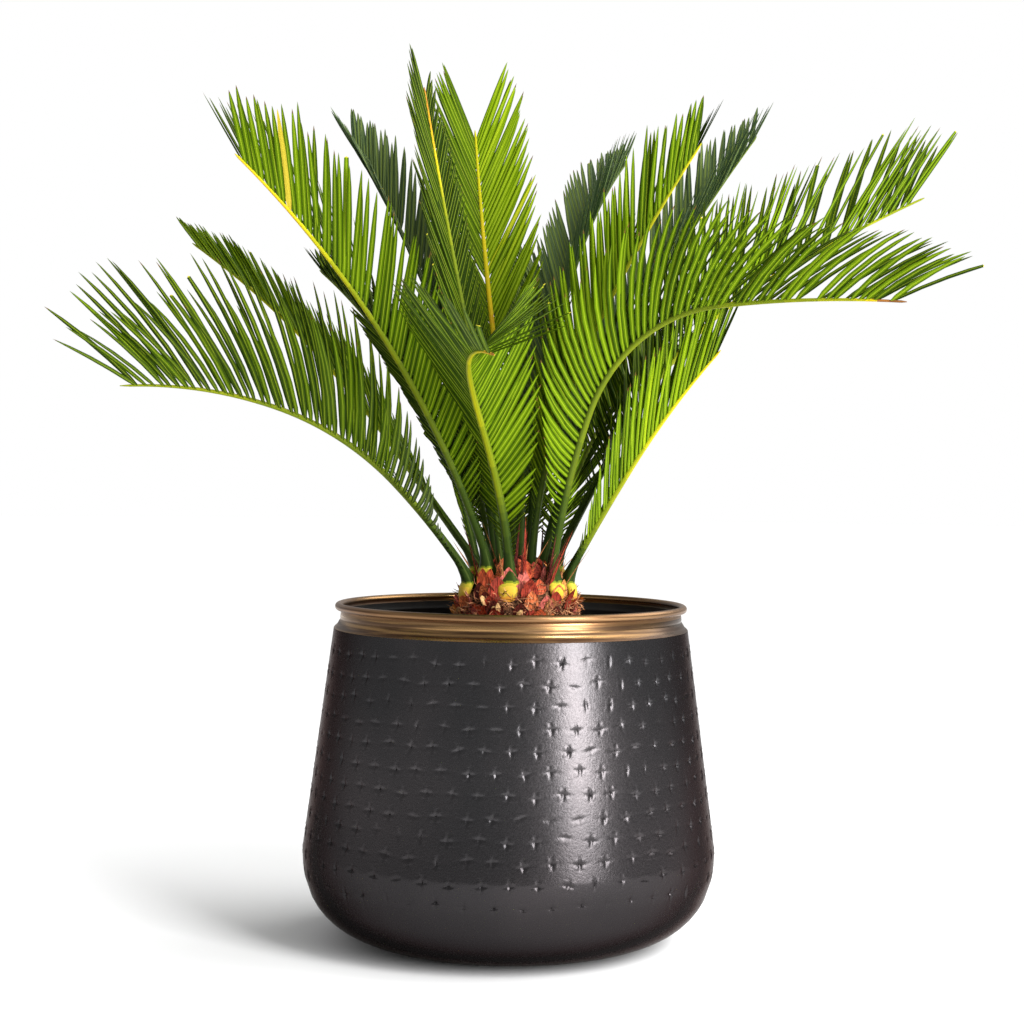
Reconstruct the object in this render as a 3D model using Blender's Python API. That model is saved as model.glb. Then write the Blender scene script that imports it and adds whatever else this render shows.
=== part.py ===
"""Sago palm, Cycas revoluta, with its metal pot.

Metres, +Z up. The origin is the middle of the pot's flat underside. The palm is seen from -Y,
with +X to the right. Azimuths are turned from +X towards +Y, so 270 points at the viewer.

The pot is a spun metal bowl with a brass neck and a rolled bead. Potting soil fills it, and the
short trunk stands on the soil. Each frond is a rib with a comb of leaflets in a V along it,
larger and fewer than life. A leaflet that would touch another frond is turned, shortened or
left out, so that every frond keeps to its own space.
"""

import math

import bmesh
import bpy
import numpy as np
from mathutils import Vector
from mathutils.bvhtree import BVHTree

# Clearance between neighbouring solids
GAP = 0.0003

# Pot body: flat foot, round corner, long taper to the shoulder
POT_FOOT_RADIUS = 0.080
POT_WIDEST_RADIUS = 0.1706
POT_WIDEST_HEIGHT = 0.077
POT_CORNER_POWER = 2.46
POT_SHOULDER_RADIUS = 0.1467
POT_SHOULDER_HEIGHT = 0.257
POT_WALL = 0.0025
POT_SEGMENTS = 40
POT_CORNER_STEPS = 6
POT_SIDE_STEPS = 2

# Brass neck and the bead rolled on its top edge
NECK_RADIUS = 0.1412
NECK_HEIGHT = 0.2665
NECK_STEPS = 4
BEAD_RADIUS = 0.0031
BEAD_CENTRE_RADIUS = 0.1426
BEAD_CENTRE_HEIGHT = 0.2750
BEAD_STEPS = 8
BEAD_START = -60
BEAD_END = 240

# Soil and trunk
SOIL_HEIGHT = 0.245
TRUNK_CENTRE_X = 0.005
TRUNK_FOOT_RADIUS = 0.0475
TRUNK_RADIUS = 0.0505
TRUNK_WIDEST_HEIGHT = 0.2750
TRUNK_TOP_HEIGHT = 0.3080
TRUNK_SEGMENTS = 16
TRUNK_DOME_STEPS = 4
LEAF_SCAR_INSET = 0.0022
LEAF_SCAR_DEPTH = 0.0025

# Where a rib starts inside the trunk: distance from its axis and height, for outer, middle and
# inner leaf bases
WHORLS = {"outer": (0.0345, 0.288), "middle": (0.0260, 0.300), "inner": (0.0135, 0.306)}

# Rib thickness along its length, as (share of the length, width), and its depth as a share of it
RIB_WIDTHS = ((0.0, 0.0130), (0.06, 0.0086), (0.35, 0.0066), (0.7, 0.0044), (1.0, 0.0024))
INNER_RIB_WIDTHS = ((0.0, 0.0076), (0.35, 0.0062), (0.7, 0.0042), (1.0, 0.0024))
RIB_DEPTH = 0.8
RIB_STEPS = 160
RIB_START_STEP = 0.0001
RIB_END_SAMPLE = 0.004
RIB_SWELL_END = 0.05
RIB_SPACE_SECTIONS = 60
CLEAR_OF_TRUNK_SHARE = 0.12

# Leaflets: the shares of the rib that they start and end at, then length, angle to the rib and
# lift out of the blade's plane from first to last
BARE_SHARE = 0.13
LAST_SHARE = 0.99
LEAFLET_PITCH = 0.025
LEAFLET_FILL = 0.62
LEAFLET_LENGTHS = ((0.0, 0.14), (0.10, 0.40), (0.22, 0.75), (0.38, 1.0), (0.75, 0.94), (1.0, 0.50))
LEAFLET_ANGLES = ((0.0, 72.0), (0.25, 54.0), (0.6, 49.0), (1.0, 38.0))
LEAFLET_LIFTS = ((0.0, 0.10), (0.12, 0.55), (0.28, 0.92), (0.40, 1.0), (1.0, 1.0))
LEAFLET_MOST_ANGLE = 88.0
LEAFLET_LIFT = 60.0
LEAFLET_SWEEP = 0.10
LEAFLET_BEND_AT = 0.5
LEAFLET_BEND_FILL = 0.80
LEAFLET_STEPS = 6
LEAFLET_THICKNESS = 0.0013
LEAFLET_TRIES = ((1.0, 0), (1.0, 8), (1.0, -8), (1.0, 16), (0.85, 0), (0.85, 12), (0.85, -12),
                 (0.65, 0), (0.65, 12), (0.65, -12), (0.45, 0), (0.45, 12), (0.3, 0))

# Each frond: azimuth in degrees, rise above level at equal steps from base to tip, rib length,
# leaflet length and whorl. Then what only some have: the azimuth of its seat on the trunk, swing
# of the azimuth over the length, roll about the rib, lift of the two rows above the blade's
# plane, spread of the leaflets, sweep of each towards the tip, the share of a whole frond that is
# left where the tip is cut off, and where a strong bend splits it.
# Fronds that give the crown its outline come first, because they get their space first.
FRONDS = {
    "frond_right_arching": dict(azimuth=-40, rise=(83, 68, 4, -5), length=0.450, leaflet=0.104,
                                whorl="outer", swing=11, spread=1.0, sweep=0.42, left=0.90, split=0.48),
    "frond_right_high": dict(azimuth=8, rise=(65, 59, 31, 25), length=0.475, leaflet=0.114,
                             whorl="middle", swing=6, spread=0.95, left=0.92),
    "frond_left_low": dict(azimuth=203, rise=(56, 44, 17, -3), length=0.350, leaflet=0.128,
                           whorl="outer", roll=-22, spread=1.15, sweep=0.25, left=0.90),
    "frond_left_upright": dict(azimuth=220, rise=(68, 52, 36), length=0.408, leaflet=0.095,
                               whorl="middle", spread=0.78, sweep=0.05, left=0.94),
    "frond_centre": dict(azimuth=113, rise=(79.5, 71, 77), length=0.392, leaflet=0.105,
                         whorl="inner", seat=102, swing=-3, lift=20, spread=0.60, left=0.88),
    "frond_centre_left": dict(azimuth=144, rise=(82.5, 76, 79), length=0.412, leaflet=0.096,
                              whorl="inner", seat=165, swing=6.5, lift=12, spread=0.62),
    "frond_right_upright": dict(azimuth=-30, rise=(88, 62, 52), length=0.375, leaflet=0.092,
                                whorl="inner", swing=-4, lift=45, spread=0.62),
    "frond_back_right": dict(azimuth=41, rise=(75, 53, 46), length=0.478, leaflet=0.090,
                             whorl="middle", seat=43, roll=-10, lift=45, spread=0.60),
    "frond_front": dict(azimuth=224, rise=(91, 57, 19, -11), length=0.336, leaflet=0.104,
                        whorl="outer", seat=260, swing=67, lift=40, spread=0.95, left=0.85, split=0.62),
    "frond_left_middle": dict(azimuth=180, rise=(54, 54, 46, 35), length=0.366, leaflet=0.070,
                              whorl="middle", lift=45, spread=0.62, sweep=0.20),
    "frond_back_left_upright": dict(azimuth=128, rise=(80, 57, 44), length=0.462, leaflet=0.092,
                                    whorl="middle", lift=45, spread=0.55),
    "frond_back_right_upright": dict(azimuth=66, rise=(86, 63, 34), length=0.430, leaflet=0.086,
                                     whorl="inner", seat=45, swing=-3, roll=-30, lift=45, spread=0.55),
    "frond_right_small": dict(azimuth=-16, rise=(61, 58, 48), length=0.236, leaflet=0.086,
                              whorl="outer", seat=-12, lift=50, spread=0.62, left=0.90),
    "frond_back_left_low": dict(azimuth=150, rise=(79, 60, 38), length=0.322, leaflet=0.066,
                                whorl="outer", swing=4, lift=45, spread=0.60),
    "frond_back_upright": dict(azimuth=86, rise=(70, 52, 22), length=0.380, leaflet=0.090,
                               whorl="middle", seat=88, lift=50, spread=0.85, sweep=0.20),
    "frond_back_left": dict(azimuth=115, rise=(64, 46, 10), length=0.370, leaflet=0.090,
                            whorl="outer", lift=50, spread=0.85, sweep=0.20),
    "frond_back_right_low": dict(azimuth=60, rise=(62, 40, 4), length=0.360, leaflet=0.090,
                                 whorl="outer", lift=50, spread=0.85, sweep=0.20),
    "frond_back_low": dict(azimuth=88, rise=(50, 26, -10), length=0.330, leaflet=0.088,
                           whorl="outer", lift=50, spread=0.85, sweep=0.20),
}


def clear_scene():
    for item in list(bpy.data.objects):
        bpy.data.objects.remove(item, do_unlink=True)


def material(name, colour, roughness, metallic=0.0):
    made = bpy.data.materials.new(name)
    made.use_nodes = True
    shader = made.node_tree.nodes["Principled BSDF"]
    shader.inputs["Base Color"].default_value = (*colour, 1.0)
    shader.inputs["Roughness"].default_value = roughness
    shader.inputs["Metallic"].default_value = metallic
    return made


def add_object(name, bm, finish, parent, smooth_angle=None):
    """A finished bmesh as a named object with its own material."""
    bmesh.ops.recalc_face_normals(bm, faces=bm.faces)
    mesh = bpy.data.meshes.new(name)
    bm.to_mesh(mesh)
    bm.free()
    if smooth_angle:
        mesh.shade_smooth()
        mesh.set_sharp_from_angle(angle=math.radians(smooth_angle))
    mesh.materials.append(finish)
    made = bpy.data.objects.new(name, mesh)
    made.parent = parent
    bpy.context.collection.objects.link(made)
    return made


def turned(profile, segments, centre_x=0.0, closed=False):
    """A bmesh turned about Z from (radius, height) points. An open profile ends on the axis."""
    bm = bmesh.new()
    verts = [bm.verts.new((centre_x + radius, 0.0, height)) for radius, height in profile]
    edges = [bm.edges.new(pair) for pair in zip(verts, verts[1:])]
    if closed:
        edges.append(bm.edges.new((verts[-1], verts[0])))
    bmesh.ops.spin(bm, geom=verts + edges, cent=(centre_x, 0, 0), axis=(0, 0, 1),
                   angle=math.tau, steps=segments, use_merge=True)
    bmesh.ops.remove_doubles(bm, verts=bm.verts, dist=1e-6)
    return bm


def pot_profile(highest):
    """(radius, height) of the pot's outer face, from its foot to a height on the taper."""
    points = []
    for i in range(POT_CORNER_STEPS + 1):
        angle = math.pi / 2 * (1 - i / POT_CORNER_STEPS)
        out = math.cos(angle) ** (2 / POT_CORNER_POWER)
        down = math.sin(angle) ** (2 / POT_CORNER_POWER)
        points.append((POT_FOOT_RADIUS + out * (POT_WIDEST_RADIUS - POT_FOOT_RADIUS),
                       POT_WIDEST_HEIGHT * (1 - down)))
    for height in np.linspace(POT_WIDEST_HEIGHT, highest, POT_SIDE_STEPS + 1)[1:]:
        share = (height - POT_WIDEST_HEIGHT) / (POT_SHOULDER_HEIGHT - POT_WIDEST_HEIGHT)
        points.append((POT_WIDEST_RADIUS + share * (POT_SHOULDER_RADIUS - POT_WIDEST_RADIUS), height))
    return points


def moved_in(profile, distance):
    """The same outline, moved towards the axis at right angles to itself."""
    before = [(0.0, profile[0][1])] + profile[:-1]
    after = profile[1:] + [profile[-1]]
    moved = []
    for (r0, z0), (r, z), (r1, z1) in zip(before, profile, after):
        low = Vector((r - r0, z - z0)).normalized()
        high = Vector((r1 - r, z1 - z)).normalized() if (r1, z1) != (r, z) else low
        normal = (Vector((-low.y, low.x)) + Vector((-high.y, high.x))).normalized()
        reach = distance / normal.dot(Vector((-low.y, low.x)))
        moved.append((r + normal.x * reach, z + normal.y * reach))
    return moved


def build_pot_body(finish, parent):
    outer = pot_profile(POT_SHOULDER_HEIGHT)
    inner = moved_in(outer, POT_WALL)
    profile = [(0.0, 0.0)] + outer + inner[::-1] + [(0.0, POT_WALL)]
    return add_object("pot_body", turned(profile, POT_SEGMENTS), finish, parent, smooth_angle=30)


def build_pot_rim(finish, parent):
    """The brass neck, drawn in above the shoulder, and the bead on its edge, in one section."""
    foot = POT_SHOULDER_HEIGHT + GAP
    outer = []
    for i in range(NECK_STEPS + 1):
        share = i / NECK_STEPS
        drawn_in = math.sin(math.pi / 2 * share) * (POT_SHOULDER_RADIUS - NECK_RADIUS)
        outer.append((POT_SHOULDER_RADIUS - drawn_in, foot + share * (NECK_HEIGHT - foot)))
    inner = [(radius - POT_WALL, height) for radius, height in outer]
    bead = []
    for i in range(BEAD_STEPS + 1):
        angle = math.radians(BEAD_START + (BEAD_END - BEAD_START) * i / BEAD_STEPS)
        bead.append((BEAD_CENTRE_RADIUS + BEAD_RADIUS * math.cos(angle),
                     BEAD_CENTRE_HEIGHT + BEAD_RADIUS * math.sin(angle)))
    return add_object("pot_rim", turned(outer + bead + inner[::-1], POT_SEGMENTS, closed=True),
                      finish, parent, smooth_angle=40)


def build_soil(finish, parent):
    """Soil that fills the pot to a level top, a gap clear of its floor and wall."""
    side = moved_in(pot_profile(SOIL_HEIGHT), POT_WALL + GAP)
    profile = [(0.0, side[0][1])] + side + [(0.0, side[-1][1])]
    return add_object("soil", turned(profile, POT_SEGMENTS), finish, parent)


def trunk_profile():
    """(radius, height) from the flat cut at soil level, over the widest place, to the top."""
    foot = SOIL_HEIGHT + GAP
    dome = TRUNK_TOP_HEIGHT - TRUNK_WIDEST_HEIGHT
    points = [(0.0, foot), (TRUNK_FOOT_RADIUS, foot)]
    for i in range(TRUNK_DOME_STEPS):
        angle = math.pi / 2 * i / TRUNK_DOME_STEPS
        points.append((TRUNK_RADIUS * math.cos(angle), TRUNK_WIDEST_HEIGHT + dome * math.sin(angle)))
    return points + [(0.0, TRUNK_TOP_HEIGHT)]


def build_trunk(finish, parent):
    """The short trunk, its skin divided into the raised scars of old leaf bases."""
    bm = turned(trunk_profile(), TRUNK_SEGMENTS, centre_x=TRUNK_CENTRE_X)
    bmesh.ops.recalc_face_normals(bm, faces=bm.faces)
    skin = [face for face in bm.faces if len(face.verts) == 4]
    bmesh.ops.inset_individual(bm, faces=skin, thickness=LEAF_SCAR_INSET, depth=LEAF_SCAR_DEPTH)
    return add_object("trunk", bm, finish, parent)


def read_off(table, share):
    """Value at a share of the length, between the pairs of a table."""
    return float(np.interp(share, [row[0] for row in table], [row[1] for row in table]))


class Rib:
    """The curve of one frond's rib, with its frame: along, up (out of the blade) and side."""

    def __init__(self, values):
        azimuth, rise, length, whorl = (values[key] for key in ("azimuth", "rise", "length", "whorl"))
        share = np.linspace(0.0, 1.0, RIB_STEPS + 1)
        lift = np.radians(np.interp(share, np.linspace(0.0, 1.0, len(rise)), rise))[:, None]
        turn = np.radians(azimuth + values.get("swing", 0.0) * share)
        out = np.stack([np.cos(turn), np.sin(turn), np.zeros_like(turn)], axis=1)
        level_side = np.stack([np.sin(turn), -np.cos(turn), np.zeros_like(turn)], axis=1)
        above = np.array((0.0, 0.0, 1.0))
        tilt = math.radians(values.get("roll", 0.0))
        steep = -np.sin(lift) * out + np.cos(lift) * above
        self.share = share
        self.length = length
        self.along = np.cos(lift) * out + np.sin(lift) * above
        self.up = math.cos(tilt) * steep + math.sin(tilt) * level_side
        self.side = math.cos(tilt) * level_side - math.sin(tilt) * steep
        self.widths = INNER_RIB_WIDTHS if whorl == "inner" else RIB_WIDTHS
        radius, height = WHORLS[whorl]
        seat = math.radians(values.get("seat", azimuth))
        start = (TRUNK_CENTRE_X + radius * math.cos(seat), radius * math.sin(seat), height)
        steps = (self.along[1:] + self.along[:-1]) / 2 * length / RIB_STEPS
        self.points = np.vstack([start, start + np.cumsum(steps, axis=0)])

    def at(self, share):
        """Point, along, up and side at a share of the length."""
        rows = (self.points, self.along, self.up, self.side)
        return [Vector([np.interp(share, self.share, row[:, axis]) for axis in range(3)]) for row in rows]

    def width(self, share):
        return read_off(self.widths, share)

    def section(self, share, grow=0.0):
        """The four corners of the rib's section: up and to the side, round to below."""
        point, _, up, side = self.at(share)
        half_width = self.width(share) / 2 + grow
        half_depth = self.width(share) * RIB_DEPTH / 2 + grow
        return [point + side * x * half_width + up * y * half_depth
                for x, y in ((1, 1), (-1, 1), (-1, -1), (1, -1))]


def first_clear_share(rib, trunk_tree):
    """Where the rib can start, a gap clear of the trunk, found by coming down from above it."""
    step = RIB_START_STEP / rib.length
    share = CLEAR_OF_TRUNK_SHARE
    while share > 0:
        near = [rib.section(share + i * RIB_END_SAMPLE / rib.length, GAP) for i in range(3)]
        centre = rib.at(share)[0]
        if sections_tree(near).overlap(trunk_tree) or inside(trunk_tree, centre):
            break
        share -= step
    return share + step


def inside(tree, point):
    """Whether a point lies inside a closed surface."""
    near, normal, _, _ = tree.find_nearest(point)
    return (point - near).dot(normal) < 0


def sections_tree(sections):
    """A closed tube through four-cornered sections, as a tree to test against."""
    points = [corner for section in sections for corner in section]
    faces = [(0, 1, 2, 3), tuple(len(points) - 1 - i for i in range(4))]
    for ring in range(len(sections) - 1):
        for i in range(4):
            a = 4 * ring + i
            b = 4 * ring + (i + 1) % 4
            faces.append((a, b, b + 4, a + 4))
    return BVHTree.FromPolygons(points, faces)


def leaflet_rows(rib, values):
    """Middle share, width and share along the whole frond of each leaflet pair."""
    count = round(rib.length * (1 - BARE_SHARE) / LEAFLET_PITCH)
    pitch = (LAST_SHARE - BARE_SHARE) / count
    for i in range(count):
        yield BARE_SHARE + (i + 0.5) * pitch, pitch, (i + 0.5) / count * values.get("left", 1.0)


def leaflet_path(rib, share, whole, hand, values, stretch, turn):
    """Points and directions along one leaflet's middle, swept towards the rib's tip, and the room
    that it has between its neighbours, as a share of their pitch."""
    point, along, up, side = rib.at(share)
    point = point + side * hand * rib.width(share) / 2
    angle = min(LEAFLET_MOST_ANGLE, values.get("spread", 1.0) * read_off(LEAFLET_ANGLES, whole))
    lift = math.radians(values.get("lift", LEAFLET_LIFT) * read_off(LEAFLET_LIFTS, whole) + turn)
    sweep = values.get("sweep", LEAFLET_SWEEP)
    out = side * hand * math.cos(lift) + up * math.sin(lift)
    step = values["leaflet"] * read_off(LEAFLET_LENGTHS, whole) * stretch / LEAFLET_STEPS
    path = [point]
    for i in range(LEAFLET_STEPS):
        bent = math.radians(angle * (1 - sweep * (i + 0.5) / LEAFLET_STEPS))
        direction = along * math.cos(bent) + out * math.sin(bent)
        path.append(path[-1] + direction * step)
    face_normal = out.cross(along).normalized() * hand
    across = face_normal.cross(direction).normalized()
    if across.dot(along) < 0:
        across = -across
    if face_normal.dot(up) < 0:
        face_normal = -face_normal
    return path, across, face_normal, math.sin(math.radians(angle * (1 - sweep)))


def leaflet_ring(path, across, normal, width, grow=0.0):
    """Four corners of the leaflet where it bends, as ((along sign, up sign), point)."""
    middle = path[round(LEAFLET_BEND_AT * LEAFLET_STEPS)]
    half_width = width / 2 + grow
    half_depth = LEAFLET_THICKNESS / 2 + grow
    return {(a, b): middle + across * a * half_width + normal * b * half_depth
            for a in (1, -1) for b in (1, -1)}


def leaflet_fits(path, across, normal, width, bend_width, others):
    """Whether the leaflet, grown by a gap, is clear of everything else."""
    low = {(a, b): path[0] + across * a * (width / 2 + GAP) + normal * b * (LEAFLET_THICKNESS + GAP)
           for a in (1, -1) for b in (1, -1)}
    ring = leaflet_ring(path, across, normal, bend_width, GAP)
    order = ((1, 1), (1, -1), (-1, -1), (-1, 1))
    tip = path[-1] + (path[-1] - path[-2]).normalized() * GAP
    points = [low[key] for key in order] + [ring[key] for key in order] + [tip]
    faces = [(i, (i + 1) % 4, (i + 1) % 4 + 4, i + 4) for i in range(4)]
    faces += [(i + 4, (i + 1) % 4 + 4, 8) for i in range(4)]
    tree = BVHTree.FromPolygons(points, faces)
    return not any(tree.overlap(other) for other in others)


def rib_shares(rib, values, start, end):
    """Shares of the rib's sections: its ends and both edges of each leaflet between them."""
    shares = [start, RIB_SWELL_END] if start < RIB_SWELL_END else [start]
    for middle, pitch, _ in leaflet_rows(rib, values):
        edges = [middle - pitch * LEAFLET_FILL / 2, middle + pitch * LEAFLET_FILL / 2]
        if edges[0] > start and edges[1] < end:
            shares += edges
    return sorted(set(shares)) + [end]


def side_face(bm, rib, share, hand):
    """The face of the rib that lies at a share of its length, on one side."""
    point, _, _, side = rib.at(share)
    target = point + side * hand * rib.width(share) / 2
    return min((f for f in bm.faces if len(f.verts) == 4),
               key=lambda f: (f.calc_center_median() - target).length)


def grow_leaflet(bm, face, rib, share, path, across, normal, bend_width):
    """The face drawn out to the leaflet's bend, then to its tip."""
    _, along, up, _ = rib.at(share)
    centre = face.calc_center_median()
    ring = leaflet_ring(path, across, normal, bend_width)
    blade = bmesh.ops.extrude_discrete_faces(bm, faces=[face])["faces"][0]
    for vert in blade.verts:
        offset = vert.co - centre
        key = (1 if offset.dot(along) > 0 else -1, 1 if offset.dot(up) > 0 else -1)
        vert.co = ring[key]
    tip = bmesh.ops.poke(bm, faces=[blade])["verts"][0]
    tip.co = path[-1]


def build_piece(name, rib, values, start, end, others, finish, parent):
    """One solid of a frond: the rib from start to end and the leaflets along it."""
    bm = bmesh.new()
    rings = [[bm.verts.new(corner) for corner in rib.section(share)]
             for share in rib_shares(rib, values, start, end)]
    bm.faces.new(rings[0])
    bm.faces.new(rings[-1][::-1])
    for low, high in zip(rings, rings[1:]):
        for i in range(4):
            bm.faces.new((low[i], high[i], high[(i + 1) % 4], low[(i + 1) % 4]))
    for share, pitch, whole in leaflet_rows(rib, values):
        half = pitch * LEAFLET_FILL / 2
        if share - half <= start or share + half >= end:
            continue
        width = 2 * half * rib.length
        for hand in (1, -1):
            for stretch, turn in LEAFLET_TRIES:
                path, across, normal, room = leaflet_path(rib, share, whole, hand, values, stretch, turn)
                bend_width = min(width, LEAFLET_BEND_FILL * pitch * rib.length * room)
                if leaflet_fits(path, across, normal, width, bend_width, others):
                    face = side_face(bm, rib, share, hand)
                    grow_leaflet(bm, face, rib, share, path, across, normal, bend_width)
                    break
    return add_object(name, bm, finish, parent)


def tree_of(item):
    """The finished mesh of an object that stands unmoved, as a tree to test against."""
    mesh = item.data
    return BVHTree.FromPolygons([v.co for v in mesh.vertices], [tuple(p.vertices) for p in mesh.polygons])


def build_fronds(trunk_tree, finish, parent):
    ribs = {}
    for name, values in FRONDS.items():
        rib = Rib(values)
        start = first_clear_share(rib, trunk_tree)
        sections = [rib.section(share, GAP) for share in np.linspace(start, 1.0, RIB_SPACE_SECTIONS)]
        ribs[name] = (rib, start, sections_tree(sections))
    finished = [trunk_tree]
    for name, values in FRONDS.items():
        rib, start, _ = ribs[name]
        others = finished + [tree for other, (_, _, tree) in ribs.items() if other != name]
        split = values.get("split")
        cut = GAP / rib.length
        pieces = [(name, start, split or 1.0)]
        if split:
            pieces.append((name + "_end", split + cut, 1.0))
        for piece, low, high in pieces:
            made = build_piece(piece, rib, values, low, high, others, finish, parent)
            finished.append(tree_of(made))
            others.append(finished[-1])


def build():
    clear_scene()
    palm = bpy.data.objects.new("sago_palm", None)
    bpy.context.collection.objects.link(palm)
    build_pot_body(material("charcoal metal", (0.035, 0.034, 0.036), 0.35, 0.8), palm)
    build_pot_rim(material("antique brass", (0.33, 0.20, 0.09), 0.3, 1.0), palm)
    build_soil(material("potting soil", (0.03, 0.02, 0.013), 0.95), palm)
    trunk = build_trunk(material("leaf base brown", (0.22, 0.07, 0.03), 0.8), palm)
    build_fronds(tree_of(trunk), material("frond green", (0.10, 0.22, 0.02), 0.45), palm)


build()
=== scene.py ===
import math

import bmesh
import bpy
import numpy as np
from mathutils import Matrix, Vector, noise


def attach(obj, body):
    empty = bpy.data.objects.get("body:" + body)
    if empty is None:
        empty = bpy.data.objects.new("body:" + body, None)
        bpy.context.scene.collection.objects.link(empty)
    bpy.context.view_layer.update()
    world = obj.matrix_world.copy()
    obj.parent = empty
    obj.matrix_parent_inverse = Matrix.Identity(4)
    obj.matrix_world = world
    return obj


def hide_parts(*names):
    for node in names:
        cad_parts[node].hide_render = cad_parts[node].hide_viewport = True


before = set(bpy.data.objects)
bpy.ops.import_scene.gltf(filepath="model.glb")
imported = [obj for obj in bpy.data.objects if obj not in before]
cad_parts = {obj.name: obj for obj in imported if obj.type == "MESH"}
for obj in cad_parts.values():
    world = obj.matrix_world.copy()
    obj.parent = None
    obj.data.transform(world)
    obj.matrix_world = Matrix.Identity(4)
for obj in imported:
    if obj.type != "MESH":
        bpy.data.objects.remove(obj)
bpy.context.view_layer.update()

# Pot body: a bowl spun from sheet metal, with a flat foot, a round corner and a long taper.
# It is finished in charcoal satin, darkened towards the foot as painted shade, and small crosses are punched into it
# by hand in twelve rows.

FOOT_RADIUS = 0.080
WIDEST_RADIUS = 0.1706
WIDEST_HEIGHT = 0.077
CORNER_POWER = 2.46
CORNER_STEPS = 14
CORNER_RINGS = 11
SHOULDER_RADIUS = 0.1467
SHOULDER_HEIGHT = 0.257
WALL = 0.0025
CORNER_WALL = 1.3 * WALL
CORNER_TOP = 0.05
STAMP_ROWS = np.linspace(0.0600, 0.2417, 12)
STAMPS_ROUND = 48
# Where the points of the skin lie at each stamp, across it and up it.
STAMP_ACROSS = np.array([-10.0, -5.6, -4.0, -2.3, -1.0, 0.0, 1.0, 2.3, 4.0, 5.6]) * 0.001
STAMP_UP = np.array([-5.6, -4.0, -2.3, -1.0, 0.0, 1.0, 2.3, 4.0, 5.6, 6.9, 8.3, 9.6]) * 0.001
STAMP_ARM = 0.0044
STAMP_DEPTH = 0.00075
STAMP_HALF_ROW = 0.0056
GROOVE_HALF_WIDTH = 0.0012
LIP_PLACE = 0.0023
LIP_RISE = 0.40
DENT_RADIUS = 0.0070
DENT_DEPTH = 0.35
HOLD_ACROSS = 0.010
HOLD_UP = 0.0078
FAINT_SHARE = 0.12
FAINT_FORCE = 0.2


def shader_of(material):
    return material.node_tree.nodes["Principled BSDF"]


def bare_material(name, colour, roughness, metallic=0.0, shine=0.5):
    made = bpy.data.materials.new(name)
    made.use_nodes = True
    for socket, value in (("Base Color", (*colour, 1.0)), ("Roughness", roughness), ("Metallic", metallic),
                          ("Specular IOR Level", shine)):
        shader_of(made).inputs[socket].default_value = value
    return made


def add_node(tree, kind, inputs, **settings):
    """Outputs of a new node, once its settings are made and its inputs are linked or set."""
    node = tree.nodes.new(kind)
    for setting, value in settings.items():
        setattr(node, setting, value)
    for socket, source in inputs.items():
        if isinstance(source, bpy.types.NodeSocket):
            tree.links.new(source, node.inputs[socket])
        else:
            node.inputs[socket].default_value = source
    return node.outputs


def new_group(name, inputs, outputs):
    """A shader node group, with the sockets that come in and those that go out."""
    group = bpy.data.node_groups.new(name, "ShaderNodeTree")
    for socket, kind, value in inputs:
        group.interface.new_socket(socket, in_out="INPUT", socket_type=kind).default_value = value
    for socket, kind in outputs:
        group.interface.new_socket(socket, in_out="OUTPUT", socket_type=kind)
    return group, group.nodes.new("NodeGroupInput").outputs, group.nodes.new("NodeGroupOutput").inputs


def make_streaks():
    """Two colours mixed by noise that is stretched along one or two axes, and the mask of the mix."""
    group, given, out = new_group(
        "streaks",
        (("Stretch", "NodeSocketVector", (1, 1, 1)), ("Scale", "NodeSocketFloat", 100.0),
         ("Low", "NodeSocketFloat", 0.4), ("High", "NodeSocketFloat", 0.6),
         ("Colour A", "NodeSocketColor", (0, 0, 0, 1)), ("Colour B", "NodeSocketColor", (1, 1, 1, 1))),
        (("Colour", "NodeSocketColor"), ("Mask", "NodeSocketFloat")))
    place = add_node(group, "ShaderNodeTexCoord", {})["Object"]
    stretched = add_node(group, "ShaderNodeVectorMath", {0: place, 1: given["Stretch"]}, operation="MULTIPLY")[0]
    grain = add_node(group, "ShaderNodeTexNoise", {"Vector": stretched, "Scale": given["Scale"], "Detail": 4.0})
    mask = add_node(group, "ShaderNodeMapRange",
                    {"Value": grain["Fac"], "From Min": given["Low"], "From Max": given["High"]})["Result"]
    mix = add_node(group, "ShaderNodeMix", {"Factor": mask, "A": given["Colour A"], "B": given["Colour B"]},
                   data_type="RGBA")
    group.links.new(mix["Result"], out["Colour"])
    group.links.new(mask, out["Mask"])
    return group


def make_painted_shade_ramp():
    """A colour that goes over to a darker one along a direction of the piece, as painted shade."""
    group, given, out = new_group(
        "painted_shade_ramp",
        (("Colour", "NodeSocketColor", (1, 1, 1, 1)), ("Dark", "NodeSocketColor", (0, 0, 0, 1)),
         ("Direction", "NodeSocketVector", (1, 0, 0)), ("Start", "NodeSocketFloat", 0.0),
         ("End", "NodeSocketFloat", 1.0), ("Most", "NodeSocketFloat", 1.0)),
        (("Colour", "NodeSocketColor"),))
    place = add_node(group, "ShaderNodeTexCoord", {})["Object"]
    along = add_node(group, "ShaderNodeVectorMath", {0: place, 1: given["Direction"]}, operation="DOT_PRODUCT")
    share = add_node(group, "ShaderNodeMapRange", {"Value": along["Value"], "From Min": given["Start"],
                                                   "From Max": given["End"], "To Max": given["Most"]})
    mix = add_node(group, "ShaderNodeMix", {"Factor": share["Result"], "A": given["Colour"], "B": given["Dark"]},
                   data_type="RGBA")
    group.links.new(mix["Result"], out["Colour"])
    return group


streaks_group = make_streaks()
painted_shade_ramp_group = make_painted_shade_ramp()


def add_streaks(material, stretch, scale, low, high, colour_a=(0.0, 0.0, 0.0), colour_b=(1.0, 1.0, 1.0)):
    return add_node(material.node_tree, "ShaderNodeGroup",
                    {"Stretch": stretch, "Scale": scale, "Low": low, "High": high,
                     "Colour A": (*colour_a, 1.0), "Colour B": (*colour_b, 1.0)}, node_tree=streaks_group)


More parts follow.
